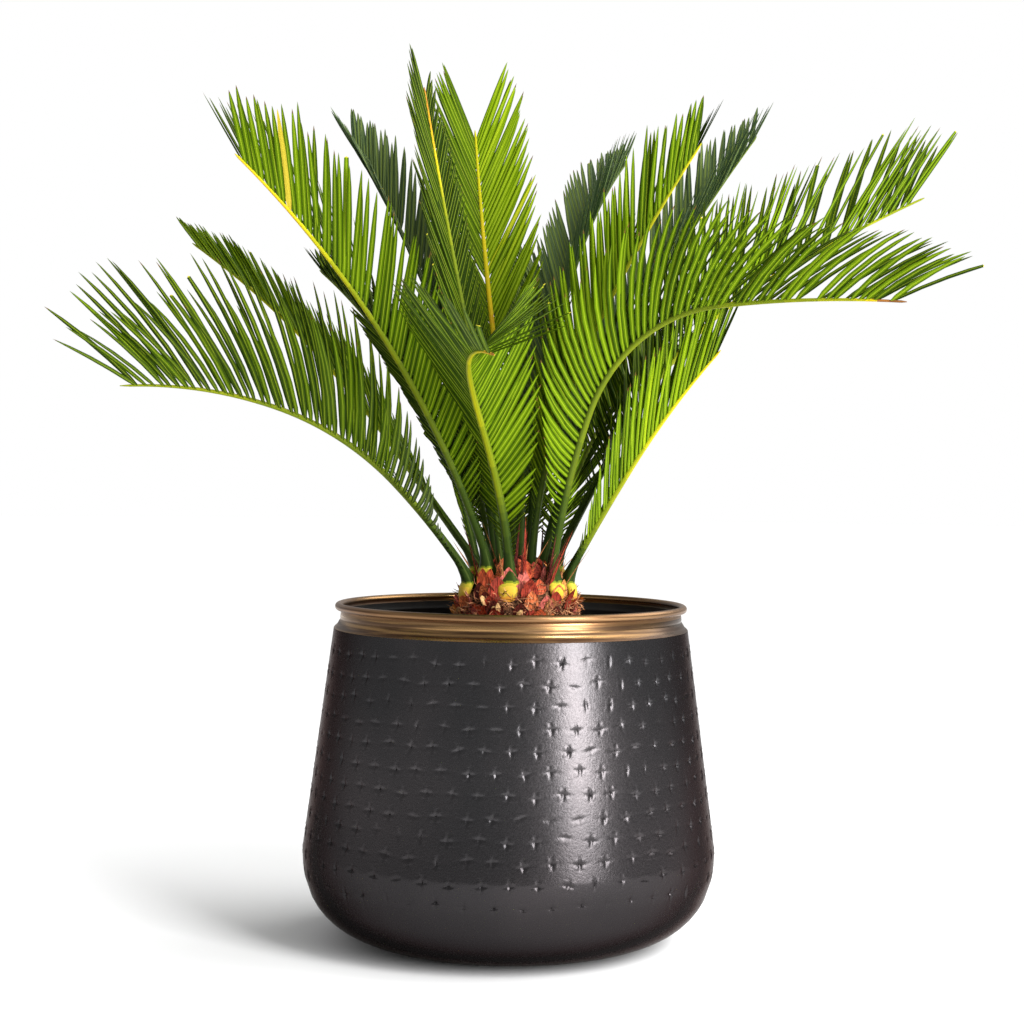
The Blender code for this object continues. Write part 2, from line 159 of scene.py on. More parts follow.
def tint(material, colour):
    """Base colour from a colour that changes over the surface."""
    material.node_tree.links.new(colour, shader_of(material).inputs["Base Color"])


def add_painted_shade_ramp(material, colour, dark, direction, start, end, most):
    """Base colour from a colour that goes over to dark, from start to end along a direction, as painted shade."""
    tint(material, add_node(material.node_tree, "ShaderNodeGroup",
                            {"Colour": colour, "Dark": (*dark, 1.0), "Direction": direction, "Start": start,
                             "End": end, "Most": most}, node_tree=painted_shade_ramp_group)["Colour"])


def roughen(material, mask, low, high):
    """Roughness from a mask, between two values."""
    spread = add_node(material.node_tree, "ShaderNodeMapRange", {"Value": mask, "To Min": low, "To Max": high})
    material.node_tree.links.new(spread["Result"], shader_of(material).inputs["Roughness"])


def emboss(material, mask, depth, strength):
    """A bump from a mask, with its depth in metres."""
    bump = add_node(material.node_tree, "ShaderNodeBump", {"Height": mask, "Distance": depth, "Strength": strength})
    material.node_tree.links.new(bump["Normal"], shader_of(material).inputs["Normal"])


def body_radius(height):
    """Radius of the pot's outer face at a height."""
    if height >= WIDEST_HEIGHT:
        share = (height - WIDEST_HEIGHT) / (SHOULDER_HEIGHT - WIDEST_HEIGHT)
        return WIDEST_RADIUS + share * (SHOULDER_RADIUS - WIDEST_RADIUS)
    down = (1 - height / WIDEST_HEIGHT) ** CORNER_POWER
    return FOOT_RADIUS + (WIDEST_RADIUS - FOOT_RADIUS) * (1 - down) ** (1 / CORNER_POWER)


def finished(name, bm, materials, smooth_angle):
    """A bmesh as a mesh object at the origin, with its normals out and its sharp edges marked."""
    bmesh.ops.recalc_face_normals(bm, faces=bm.faces)
    mesh = bpy.data.meshes.new(name)
    bm.to_mesh(mesh)
    bm.free()
    mesh.shade_smooth()
    mesh.set_sharp_from_angle(angle=math.radians(smooth_angle))
    for material in materials:
        mesh.materials.append(material)
    made = bpy.data.objects.new(name, mesh)
    bpy.context.scene.collection.objects.link(made)
    return made


def lathe(profile, steps, closed=False):
    """A bmesh spun about Z from (radius, height) points."""
    bm = bmesh.new()
    verts = [bm.verts.new((radius, 0.0, height)) for radius, height in profile]
    edges = [bm.edges.new(pair) for pair in zip(verts, verts[1:])]
    if closed:
        edges.append(bm.edges.new((verts[-1], verts[0])))
    bmesh.ops.spin(bm, geom=verts + edges, cent=(0, 0, 0), axis=(0, 0, 1), angle=math.tau,
                   steps=steps, use_merge=True)
    bmesh.ops.remove_doubles(bm, verts=bm.verts, dist=1e-6)
    return bm


corner_heights = [WIDEST_HEIGHT * (1 - math.sin(math.pi / 2 * (1 - i / CORNER_STEPS)) ** (2 / CORNER_POWER))
                  for i in range(CORNER_RINGS)]
stamp_heights = [row + up for row in STAMP_ROWS for up in STAMP_UP]
outer_heights = corner_heights + stamp_heights + [0.2530, 0.2552, SHOULDER_HEIGHT]
outer = [(0.0, 0.0), (0.030, 0.0), (FOOT_RADIUS - 0.010, 0.0)]
outer += [(body_radius(height), height) for height in outer_heights]
inner = [(body_radius(height) - (WALL if height > CORNER_TOP else CORNER_WALL), height)
         for height in np.linspace(SHOULDER_HEIGHT, 0.004, 16)]
bm = lathe(outer + inner + [(0.0, WALL)], STAMPS_ROUND * len(STAMP_ACROSS))

# No two stamps are alike: rows turn a little, and each cross slips, leans and is struck harder or
# softer, with one arm in eight hardly there.
punch = np.random.default_rng(7)
stamp_count = (len(STAMP_ROWS), STAMPS_ROUND)
row_turn = (np.arange(len(STAMP_ROWS)) % 2 * 0.5 + punch.normal(0, 0.07, len(STAMP_ROWS))) * math.tau / STAMPS_ROUND
turn_heights = np.stack([STAMP_ROWS - STAMP_HALF_ROW, STAMP_ROWS + STAMP_HALF_ROW], axis=1).ravel()
stamp_slip = punch.normal(0, 0.0013, (*stamp_count, 2)).clip(-0.0026, 0.0026)
stamp_tilt = punch.normal(0, 0.12, stamp_count)
stamp_force = punch.uniform(0.45, 1.0, (*stamp_count, 2))
for arm in range(2):
    stamp_force[:, :, arm] *= np.where(punch.random(stamp_count) < FAINT_SHARE, FAINT_FORCE, 1.0)


def groove(off, along):
    """Depth of one arm of a cross: a V with a low lip on each side, that runs out at its ends."""
    run = max(0.0, 1 - (abs(along) / STAMP_ARM) ** 4)
    cut = max(0.0, 1 - abs(off) / GROOVE_HALF_WIDTH)
    lip = max(0.0, 1 - abs(abs(off) - LIP_PLACE) / GROOVE_HALF_WIDTH)
    return run * (cut - LIP_RISE * lip)


def punch_crosses(bm):
    """Moves the outer skin so that its columns crowd at each stamp, and presses the stamps in."""
    columns = len(STAMP_ACROSS)
    for vert in bm.verts:
        radius = math.hypot(vert.co.x, vert.co.y)
        height = vert.co.z
        if radius < FOOT_RADIUS or abs(radius - body_radius(height)) > 1e-4:
            continue
        column = round(math.atan2(vert.co.y, vert.co.x) / math.tau * columns * STAMPS_ROUND)
        stamp, place = divmod(column, columns)
        stamp %= STAMPS_ROUND
        row = int(np.abs(STAMP_ROWS - height).argmin())
        turn = np.interp(height, turn_heights, np.repeat(row_turn, 2))
        u, v = STAMP_ACROSS[place], height - STAMP_ROWS[row]
        press = 0.0
        if abs(v) < HOLD_UP:
            hold = max(0.0, 1 - max(abs(u) / HOLD_ACROSS, abs(v) / HOLD_UP) ** 3)
            force = stamp_force[row, stamp]
            press = force[0] * groove(v, u) + force[1] * groove(u, v)
            press += DENT_DEPTH * force.mean() * max(0.0, 1 - (u * u + v * v) / DENT_RADIUS ** 2) ** 2
            lean, slip = stamp_tilt[row, stamp], stamp_slip[row, stamp]
            u, v = (u + hold * (slip[0] - lean * v), v + hold * (slip[1] + lean * u))
            height = STAMP_ROWS[row] + v
        angle = (stamp + 0.5) * math.tau / STAMPS_ROUND + turn + u / body_radius(height)
        out = body_radius(height) - press * STAMP_DEPTH
        vert.co = (out * math.cos(angle), out * math.sin(angle), height)


punch_crosses(bm)

charcoal = bare_material("charcoal_satin", (0.050, 0.048, 0.050), 0.27, metallic=0.92)
shader_of(charcoal).inputs["Specular Tint"].default_value = (0.34, 0.29, 0.28, 1.0)
patina = add_streaks(charcoal, (1, 1, 0.6), 9.0, 0.42, 0.70, (0.043, 0.042, 0.044), (0.064, 0.058, 0.060))
# Painted shade: the body goes darker towards the foot, where it reflects the shaded floor.
add_painted_shade_ramp(charcoal, patina["Colour"], (0.018, 0.015, 0.016), (0, 0, 1), 0.155, 0.020, 0.80)
satin_grain = add_streaks(charcoal, (1, 1, 1), 620.0, 0.30, 0.70)
roughen(charcoal, satin_grain["Mask"], 0.24, 0.31)
emboss(charcoal, satin_grain["Mask"], 0.00008, 0.5)
# Painted shade: the pot's inside and the inside of its neck are near black, with faint dust.
inside_painted_shade = bare_material("inside_painted_shade", (0.006, 0.005, 0.005), 0.6)
inside_dust_and_shade = add_streaks(inside_painted_shade, (1, 1, 1), 60.0, 0.4, 0.8, (0.005, 0.005, 0.005), (0.014, 0.011, 0.009))
tint(inside_painted_shade, inside_dust_and_shade["Colour"])
for face in bm.faces:
    middle = face.calc_center_median()
    if middle.z > WALL / 2 and math.hypot(middle.x, middle.y) < body_radius(middle.z) - WALL * 0.6:
        face.material_index = 1

pot_body = finished("pot_body_skin", bm, (charcoal, inside_painted_shade), 50)
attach(pot_body, "root")
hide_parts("pot_body")

# Pot rim: the neck, drawn in above the shoulder, and the wire bead that its edge is rolled round.
# Both are plated in brass and rubbed along the rim, the neck is given painted shade towards its right side, and the
# bead is the darker one.

NECK_RADIUS = 0.1412
NECK_FOOT = SHOULDER_HEIGHT + 0.0003
NECK_HEIGHT = 0.2665
NECK_STEPS = 14
NECK_WALL = 0.0022
NECK_SKIN = 0.0012
RIPPLE_DEPTH = 0.00018
RIPPLES = 2.2
BEAD_RADIUS = 0.0031
BEAD_CENTRE = (0.1426, 0.2750)
BEAD_FOOT = 0.2694
BEAD_INSIDE = 0.1397

neck = []
for i in range(NECK_STEPS + 1):
    share = i / NECK_STEPS
    drawn_in = math.sin(math.pi / 2 * share) * (SHOULDER_RADIUS - NECK_RADIUS)
    ripple = RIPPLE_DEPTH * math.sin(share * math.tau * RIPPLES)
    neck.append((SHOULDER_RADIUS - drawn_in + ripple, NECK_FOOT + share * (NECK_HEIGHT - NECK_FOOT)))
neck += [(NECK_RADIUS - 0.0002, 0.2690), (NECK_RADIUS - 0.0006, 0.2712)]
bead = [(BEAD_CENTRE[0] + BEAD_RADIUS * math.cos(math.radians(angle)),
         BEAD_CENTRE[1] + BEAD_RADIUS * math.sin(math.radians(angle))) for angle in range(-72, 235, 15)]
neck_inside = [(radius - NECK_WALL, height) for radius, height in neck[::-1]]
bm = lathe(neck + bead + neck_inside, 256, closed=True)

brass = bare_material("rubbed_brass", (0.42, 0.25, 0.10), 0.32, metallic=1.0)
rub = add_streaks(brass, (13, 13, 330), 1.0, 0.40, 0.62, (0.095, 0.054, 0.030), (0.35, 0.205, 0.085))
# Painted shade: the neck's brass goes darker towards its right side, which dulls the key light's glint there.
add_painted_shade_ramp(brass, rub["Colour"], (0.060, 0.034, 0.020), (1, 0, 0), 0.065, 0.125, 0.88)
roughen(brass, rub["Mask"], 0.38, 0.24)
emboss(brass, rub["Mask"], 0.00006, 0.6)
bronze = bare_material("darkened_bead", (0.30, 0.15, 0.06), 0.30, metallic=1.0)
tarnish = add_streaks(bronze, (8, 8, 420), 1.0, 0.38, 0.68, (0.12, 0.060, 0.028), (0.38, 0.22, 0.105))
tint(bronze, tarnish["Colour"])
roughen(bronze, tarnish["Mask"], 0.40, 0.26)
neck_radii, neck_heights = zip(*neck)
# Faces inside the neck take the near-black painted shade.
for face in bm.faces:
    middle = face.calc_center_median()
    radius = math.hypot(middle.x, middle.y)
    if middle.z > BEAD_FOOT and radius > BEAD_INSIDE:
        face.material_index = 1
    elif radius < np.interp(middle.z, neck_heights, neck_radii) - NECK_SKIN:
        face.material_index = 2

pot_rim = finished("pot_rim_bead", bm, (brass, bronze, inside_painted_shade), 40)
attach(pot_rim, "root")
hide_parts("pot_rim")

# Potting soil: dark peat that fills the pot, drawn up a little to the trunk's foot.
# Its top is uneven, and chips of bark lie half sunk in it.

SOIL_HEIGHT = 0.245
SOIL_GAP = 0.0006
SOIL_SINK = 0.004
TRUNK_X = 0.005
MOUND_HEIGHT = 0.012
MOUND_RADIUS = 0.045
MOUND_RUN = 0.035
MOUND_HIDDEN = 0.03


def soil_radius(height):
    return body_radius(height) - WALL - SOIL_GAP


rings = [0.0, 0.02, *np.linspace(0.045, soil_radius(SOIL_HEIGHT), 44)]
soil_side = [(soil_radius(height), height) for height in (0.235, 0.20, 0.14, 0.085)]
bm = lathe([(radius, SOIL_HEIGHT) for radius in rings] + soil_side + [(0.0, 0.080)], 180)
for vert in bm.verts:
    if vert.co.z > SOIL_HEIGHT - 1e-4:
        place = Vector((vert.co.x, vert.co.y, 0.0))
        near = math.hypot(vert.co.x - TRUNK_X, vert.co.y)
        lumps = 0.0035 * noise.fractal(place * 38, 1.0, 2.0, 4) + 0.0022 * noise.noise(place * 260)
        mound = MOUND_HEIGHT * max(0.0, 1 - (near - MOUND_RADIUS) / MOUND_RUN) * (near > MOUND_HIDDEN)
        vert.co.z += lumps - SOIL_SINK + mound

peat = bare_material("peat", (0.018, 0.011, 0.007), 0.95, shine=0.2)
crumbs = add_streaks(peat, (1, 1, 1), 420.0, 0.35, 0.68, (0.007, 0.004, 0.003), (0.050, 0.029, 0.017))
tint(peat, crumbs["Colour"])
emboss(peat, crumbs["Mask"], 0.0012, 0.9)

soil = finished("soil_surface", bm, (peat,), 60)
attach(soil, "root")
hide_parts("soil")


def unit(vectors):
    return vectors / np.linalg.norm(vectors, axis=-1, keepdims=True)


def level_ways(angles):
    """Level directions at an array of angles about Z."""
    return np.stack([np.cos(angles), np.sin(angles), np.zeros_like(angles)], axis=1)


def plain_set(stem, colours, roughness, shine):
    """One plain material for each colour, numbered."""
    return [bare_material(f"{stem}_{i}", colour, roughness, shine=shine) for i, colour in enumerate(colours)]


def blade_faces(stations, around):
    """Faces of one blade, and the place of each: (station, position round the ring)."""
    faces, places = [tuple(range(around))[::-1]], [(-1, 0)]
    for s in range(stations - 1):
        for k in range(around):
            a, b = s * around + k, s * around + (k + 1) % around
            faces.append((a, b, b + around, a + around))
            places.append((s, k))
    tip = stations * around
    for k in range(around):
        faces.append((tip - around + k, tip - around + (k + 1) % around, tip))
        places.append((stations - 1, k))
    return faces, places


def blades(name, middle, across, normal, half_width, tip, ring, finish_of, materials, smooth_angle=40):
    """Thin closed blades joined in one mesh. Each has a ring of points at every station, given as
    (across, normal) in half widths, and one point at its tip."""
    count, stations = half_width.shape
    ring = np.array(ring)
    offset = across[:, :, None] * ring[:, :1] + normal[:, :, None] * ring[:, 1:]
    points = middle[:, :, None] + offset * half_width[:, :, None, None]
    points = np.concatenate([points.reshape(count, -1, 3), tip[:, None]], axis=1)
    faces, places = blade_faces(stations, len(ring))
    per_blade = points.shape[1]
    all_faces = [tuple(i * per_blade + v for v in face) for i in range(count) for face in faces]
    mesh = bpy.data.meshes.new(name)
    mesh.from_pydata(points.reshape(-1, 3).tolist(), [], all_faces)
    slots = [finish_of(i, s, k) for i in range(count) for s, k in places]
    mesh.polygons.foreach_set("material_index", slots)
    bm = bmesh.new()
    bm.from_mesh(mesh)
    bpy.data.meshes.remove(mesh)
    return finished(name, bm, materials, smooth_angle)


UP = np.array((0.0, 0.0, 1.0))
CHIPS = 620
CHIPS_FROM = 0.048
CHIPS_TO = 0.134
CHIP_STATIONS = np.array([-1.0, -0.7, 0.1, 0.8])
CHIP_TAPER = np.array([0.5, 0.9, 1.0, 0.6])

chips = np.random.default_rng(11)
chip_angle = chips.uniform(0, math.tau, CHIPS)
chip_radius = CHIPS_FROM + (CHIPS_TO - CHIPS_FROM) * chips.random(CHIPS) ** 0.8
chip_turn = chips.uniform(0, math.tau, CHIPS)
chip_tip = chips.normal(0, 0.28, CHIPS)[:, None]
chip_long = chips.uniform(0.003, 0.0085, CHIPS)[:, None]
chip_foot = level_ways(chip_angle) * chip_radius[:, None]
chip_foot[:, 2] = (SOIL_HEIGHT + chips.uniform(-0.003, 0.0015, CHIPS)
                   + 0.006 * np.clip(1 - (chip_radius - 0.05) / 0.03, 0, 1))
chip_way = level_ways(chip_turn) * np.cos(chip_tip) + UP * np.sin(chip_tip)
chip_across = unit(np.cross(chip_way, UP))
chip_up = np.cross(chip_across, chip_way)
chip_middle = chip_foot[:, None] + chip_way[:, None] * CHIP_STATIONS[:, None] * chip_long[:, None]
chip_width = chip_long * chips.uniform(0.22, 0.5, (CHIPS, 1)) * CHIP_TAPER
bark_colours = ((0.060, 0.030, 0.017), (0.105, 0.052, 0.026), (0.035, 0.019, 0.012), (0.16, 0.085, 0.045))
bark_finishes = plain_set("bark_chip", bark_colours, 0.9, 0.2)
chip_finish = chips.integers(0, len(bark_finishes), CHIPS)
bark = blades("bark_chips", chip_middle, *(np.repeat(way[:, None], len(CHIP_STATIONS), 1)
                                           for way in (chip_across, chip_up)),
              chip_width, chip_foot + chip_way * chip_long,
              ((-1, -0.2), (-0.8, 0.3), (0.2, 0.45), (1, 0.1), (0.6, -0.35)),
              lambda i, s, k: int(chip_finish[i]), bark_finishes, 20)
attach(bark, "root")
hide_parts("soil")

# Trunk: the short stem of the palm, all leaf bases. Pointed red-brown scales stand on it in a
# spiral, brown wool fills the gaps between them, and torn orange scales lie at its foot.

TRUNK_RADIUS = 0.0505
TRUNK_WIDEST = 0.275
TRUNK_TOP = 0.308
CORE_INSET = 0.004
CORE_KNOBS = 0.0022
SCALES = 150
SCALES_FROM = 0.247
SCALES_TO = 0.304
SCALE_INSET = 0.0045
GOLDEN_ANGLE = math.radians(137.5)


def dome_rise(height, most):
    """How far up the trunk's dome a height is, as a share, and no more than most."""
    return np.clip((height - TRUNK_WIDEST) / (TRUNK_TOP - TRUNK_WIDEST), 0, most)


def trunk_radius(height):
    return TRUNK_RADIUS * np.sqrt(1 - dome_rise(height, 1) ** 2)


def round_trunk(out, radius, height):
    """Points about the trunk's middle: a radius away in the directions out, and at a height."""
    return out * radius[:, None] + np.stack([np.full_like(height, TRUNK_X), np.zeros_like(height), height], axis=1)


core = [(0.0, 0.236), (0.046, 0.236), (0.048, 0.248)]
core += [(trunk_radius(height) - CORE_INSET, height)
         for height in (0.256, 0.264, 0.272, 0.279, 0.285, 0.290, 0.295, 0.299)]
core += [(0.012, 0.303), (0.0, 0.304)]
bm = lathe(core, 72)
for vert in bm.verts:
    knob = noise.fractal(vert.co * 160, 1.0, 2.0, 3)
    out = Vector((vert.co.x, vert.co.y, 0.0))
    if out.length > 0.01:
        vert.co += out.normalized() * CORE_KNOBS * knob
    vert.co.x += TRUNK_X
fibre = bare_material("brown_fibre", (0.075, 0.030, 0.015), 0.95, shine=0.15)
matting = add_streaks(fibre, (1, 1, 0.25), 700.0, 0.38, 0.64, (0.020, 0.008, 0.004), (0.17, 0.075, 0.036))
tint(fibre, matting["Colour"])
emboss(fibre, matting["Mask"], 0.0009, 0.9)
trunk_core = finished("trunk_core", bm, (fibre,), 60)
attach(trunk_core, "root")
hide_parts("trunk")


def standing_blades(rng, feet, way, outward, length, width, droop, stations, taper):
    """Middles, cross directions, half widths and tips of blades that start along way and bend outward."""
    share = np.array(stations)
    bend = (droop[:, None] * share)[..., None]
    direction = unit(way[:, None] * np.cos(bend) + outward[:, None] * np.sin(bend))
    step = np.diff(share, prepend=0.0)
    middle = feet[:, None] + np.cumsum(direction * (length[:, None] * step)[..., None], axis=1)
    across = unit(np.cross(way, outward))
    twist = rng.normal(0, 0.15, len(feet))[:, None]
    across = unit(across * np.cos(twist) + outward * np.sin(twist))
    across = np.repeat(across[:, None], len(share), 1)
    normal = unit(np.cross(direction, across))
    tip = middle[:, -1] + direction[:, -1] * (length * (1 - share[-1]))[:, None]
    return middle, across, normal, width[:, None] / 2 * np.array(taper), tip


def fibrous(name, colour, roughness, dark_share, stretch, scale, low, high):
    """A material with fine dark lines that run up the piece, and the mask of its lines."""
    made = bare_material(name, colour, roughness, shine=0.2)
    lines = add_streaks(made, (1, 1, stretch), scale, low, high, tuple(v * dark_share for v in colour), colour)
    tint(made, lines["Colour"])
    return made, lines["Mask"]


scale_rng = np.random.default_rng(23)
order = np.arange(SCALES)
scale_out = level_ways(order * GOLDEN_ANGLE + scale_rng.normal(0, 0.12, SCALES))
scale_height = (SCALES_FROM + (SCALES_TO - SCALES_FROM) * (order / SCALES) ** 0.85
                + scale_rng.normal(0, 0.0012, SCALES))
rise = dome_rise(scale_height, 0.97)
outward = unit(scale_out * np.sqrt(1 - rise ** 2)[:, None] + UP * rise[:, None])
upward = unit(UP - outward * outward[:, 2:])
scale_feet = round_trunk(scale_out, trunk_radius(scale_height) - SCALE_INSET, scale_height)
scale_shape = standing_blades(scale_rng, scale_feet, upward, outward,
                              length=scale_rng.uniform(0.012, 0.022, SCALES),
                              width=scale_rng.uniform(0.0105, 0.0165, SCALES),
                              droop=scale_rng.uniform(0.30, 0.85, SCALES),
                              stations=(0.0, 0.18, 0.38, 0.58, 0.78, 0.93), taper=(0.62, 0.92, 1.0, 0.88, 0.58, 0.24))
scale_colours = ((0.70, 0.115, 0.040), (0.38, 0.044, 0.022), (0.86, 0.220, 0.075), (0.13, 0.019, 0.012),
                 (0.84, 0.340, 0.085), (0.48, 0.190, 0.065), (0.64, 0.145, 0.110))
scale_finishes = []
for i, colour in enumerate(scale_colours):
    made, mask = fibrous(f"leaf_scale_{i}", colour, 0.62, 0.22, 0.14, 1100.0, 0.36, 0.60)
    emboss(made, mask, 0.0004, 0.8)
    scale_finishes.append(made)
scale_pick = scale_rng.choice(len(scale_colours), SCALES, p=(0.24, 0.20, 0.14, 0.14, 0.05, 0.11, 0.12))
leaf_scales = blades("trunk_leaf_scales", *scale_shape,
                     ((-1, -0.22), (-0.6, 0.10), (0.0, 0.24), (0.6, 0.10), (1, -0.22), (0.0, -0.06)),
                     lambda i, s, k: int(scale_pick[i]), scale_finishes)
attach(leaf_scales, "root")
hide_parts("trunk")

# Wool and torn scales: short brown fibres that curl out of the trunk, orange ends of old scales at
# its foot, and thin dry bracts that stand up between the leaf stalks.

WOOL = 3000
WOOL_INSET = 0.002
TORN = 46
TORN_INSET = 0.001
BRACTS = 44
BRACT_INSET = 0.004

wool_rng = np.random.default_rng(31)
wool_out = level_ways(wool_rng.uniform(0, math.tau, WOOL))
wool_height = 0.246 + 0.052 * wool_rng.random(WOOL) ** 1.7
wool_feet = round_trunk(wool_out, trunk_radius(wool_height) - WOOL_INSET, wool_height)
wool_way = unit(wool_out * 0.5 + wool_rng.normal(0, 0.7, (WOOL, 3)))
wool_bend = unit(np.cross(wool_way, wool_rng.normal(0, 1, (WOOL, 3))))
wool_shape = standing_blades(wool_rng, wool_feet, wool_way, wool_bend,
                             length=wool_rng.uniform(0.004, 0.013, WOOL),
                             width=wool_rng.uniform(0.0005, 0.0009, WOOL),
                             droop=wool_rng.uniform(0.4, 2.8, WOOL),
                             stations=(0.0, 0.25, 0.5, 0.75), taper=(1, 1, 0.9, 0.7))
wool_finishes = plain_set("wool", ((0.32, 0.125, 0.058), (0.10, 0.040, 0.020), (0.55, 0.27, 0.13)), 0.9, 0.2)
wool_pick = wool_rng.integers(0, len(wool_finishes), WOOL)
wool = blades("trunk_wool", *wool_shape, ((-1, -0.6), (0, 1), (1, -0.6)), lambda i, s, k: int(wool_pick[i]),
              wool_finishes)
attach(wool, "root")
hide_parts("trunk")

torn_rng = np.random.default_rng(37)
torn_out = level_ways(torn_rng.uniform(0, math.tau, TORN))
torn_height = torn_rng.uniform(0.252, 0.281, TORN)
torn_feet = round_trunk(torn_out, trunk_radius(torn_height) - TORN_INSET, torn_height)
torn_way = unit(torn_out * torn_rng.uniform(0.3, 1.1, (TORN, 1)) + torn_rng.normal(0, 0.45, (TORN, 3)) + UP * 0.35)
torn_bend = unit(np.cross(torn_way, torn_rng.normal(0, 1, (TORN, 3))))
torn_shape = standing_blades(torn_rng, torn_feet, torn_way, torn_bend,
                             length=torn_rng.uniform(0.006, 0.016, TORN),
                             width=torn_rng.uniform(0.004, 0.009, TORN),
                             droop=torn_rng.uniform(0.1, 0.9, TORN),
                             stations=(0.0, 0.3, 0.6, 0.9), taper=(0.8, 1.0, 0.9, 0.55))
torn_colours = ((0.80, 0.34, 0.08), (0.62, 0.17, 0.05), (0.80, 0.48, 0.20))
torn_finishes = [fibrous(f"torn_scale_{i}", colour, 0.8, 0.25, 0.2, 1300.0, 0.34, 0.62)[0]
                 for i, colour in enumerate(torn_colours)]
torn_pick = torn_rng.integers(0, len(torn_finishes), TORN)
torn = blades("trunk_torn_scales", *torn_shape,
              ((-1, -0.15), (-0.4, 0.22), (0.5, 0.18), (1, -0.15), (0.1, -0.2)),
              lambda i, s, k: int(torn_pick[i]), torn_finishes, 30)
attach(torn, "root")
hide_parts("trunk")

bract_rng = np.random.default_rng(41)
bract_out = level_ways(bract_rng.uniform(0, math.tau, BRACTS))
bract_radius = bract_rng.uniform(0.018, 0.042, BRACTS)
dome = TRUNK_WIDEST + (TRUNK_TOP - TRUNK_WIDEST) * np.sqrt(1 - (bract_radius / TRUNK_RADIUS) ** 2)
bract_feet = round_trunk(bract_out, bract_radius, dome - BRACT_INSET)
bract_way = unit(bract_out * bract_rng.uniform(0.1, 0.6, (BRACTS, 1)) + UP + bract_rng.normal(0, 0.1, (BRACTS, 3)))
bract_shape = standing_blades(bract_rng, bract_feet, bract_way, bract_out,
                              length=bract_rng.uniform(0.022, 0.058, BRACTS),
                              width=bract_rng.uniform(0.002, 0.0042, BRACTS),
                              droop=bract_rng.normal(0.15, 0.15, BRACTS),
                              stations=(0.0, 0.25, 0.5, 0.75), taper=(1, 0.9, 0.6, 0.3))
bract_pick = bract_rng.choice((1, 3, 3, 5), BRACTS)
bracts = blades("trunk_dry_bracts", *bract_shape, ((-1, -0.1), (0, 0.35), (1, -0.1), (0, -0.2)),
                lambda i, s, k: int(bract_pick[i]), scale_finishes)
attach(bracts, "root")
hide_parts("trunk")

# Fronds: each is a stiff rib with a comb of narrow leathery leaflets on both sides, set in a V.
# They grow by the rule of the solids, with a full comb of fine leaflets and with spines below it.
# The ladders are the plain greens dealt out to them. First come the two big fronds on the right.

WHORLS = {"outer": (0.0345, 0.288), "middle": (0.0260, 0.300), "inner": (0.0135, 0.306)}
RIB_WIDTHS = ((0.0, 0.0110), (0.06, 0.0086), (0.35, 0.0062), (0.7, 0.0042), (1.0, 0.0022))
INNER_RIB_WIDTHS = ((0.0, 0.0080), (0.35, 0.0060), (0.7, 0.0042), (1.0, 0.0022))
RIB_DEPTH = 0.85
RIB_END = 0.35
RIB_STEPS = 160
FOOT_SIZES = {"outer": 1.0, "middle": 0.84}
FOOT_RUN = (0.034, 0.026, 0.019, 0.0135, 0.009)
FOOT_PUSH = (0.0, 0.0006, 0.0018, 0.0032, 0.0048)
FOOT_DROPS = ((0.0045, 0.0020), (0.0090, 0.0032), (0.0135, 0.0036), (0.0175, 0.0034), (0.0205, 0.0026))
FOOT_LEAN = 0.35
FOOT_HALF_WIDTHS = (0.0040, 0.0046, 0.0056, 0.0070, 0.0086, 0.0092, 0.0084, 0.0066, 0.0042, 0.0018)
FOOT_HALF_DEPTHS = (0.0034, 0.0038, 0.0042, 0.0045, 0.0047, 0.0045, 0.0040, 0.0033, 0.0024, 0.0010)
FOOT_RIPENESS = ((0.0, 2.0), (3.3, 2.0), (3.7, 3.0), (4.0, 3.9), (4.4, 4.6), (6.2, 5.4), (7.6, 6.6), (9.0, 6.6))
FOOT_TURNS = 2.7
SPINES = 9
SPINES_FROM = 0.05
SPINE_SIZES = np.linspace(0.10, 0.75, SPINES) ** 1.2
BARE_SHARE = 0.13
LAST_SHARE = 0.99
PITCH = 0.0057
CROWDING = 1.12
MISSING = 0.012
OPEN_FROM = 0.40
OPEN_RUN = 0.35
LEAFLET_WIDTH = 0.0046
LEAFLET_TILT = 0.26
LEAFLET_LENGTHS = ((0.0, 0.14), (0.10, 0.40), (0.22, 0.75), (0.38, 1.0), (0.75, 0.94), (1.0, 0.50))
LEAFLET_ANGLES = ((0.0, 72.0), (0.25, 54.0), (0.6, 49.0), (1.0, 38.0))
LEAFLET_LIFTS = ((0.0, 0.10), (0.12, 0.55), (0.28, 0.92), (0.40, 1.0), (1.0, 1.0))
LEAFLET_MOST_ANGLE = 88.0
LEAFLET_SEAT = 0.30
LEAFLET_STATIONS = (0.0, 0.09, 0.32, 0.60, 0.82, 0.955)
LEAFLET_TAPER = (0.46, 0.90, 1.0, 0.95, 0.68, 0.27)
LEAFLET_BLUNT = (0.46, 0.90, 1.0, 1.0, 0.95, 0.75)
LEAFLET_RING = ((-1, -0.22), (-0.64, 0.12), (-0.14, 0.0), (0.14, 0.0), (0.64, 0.12), (1, -0.22),
                (0.64, -0.10), (0.14, -0.22), (-0.14, -0.22), (-0.64, -0.10))
UNEVEN = {"size": 0.035, "place": 0.0007, "angle": 1.4, "lift": 1.6, "tilt": 0.05, "turn": 0.10}
# The last three rungs are blue-green; the paler two add a painted sheen to that own colour.
LEAF_LADDER = ((0.010, 0.023, 0.002), (0.016, 0.036, 0.002), (0.028, 0.057, 0.002), (0.045, 0.086, 0.002),
               (0.068, 0.125, 0.002), (0.099, 0.170, 0.003), (0.140, 0.224, 0.003), (0.200, 0.285, 0.005),
               (0.310, 0.340, 0.010), (0.028, 0.055, 0.020), (0.062, 0.100, 0.042), (0.108, 0.158, 0.054))
ORDINARY_RUNGS = 9
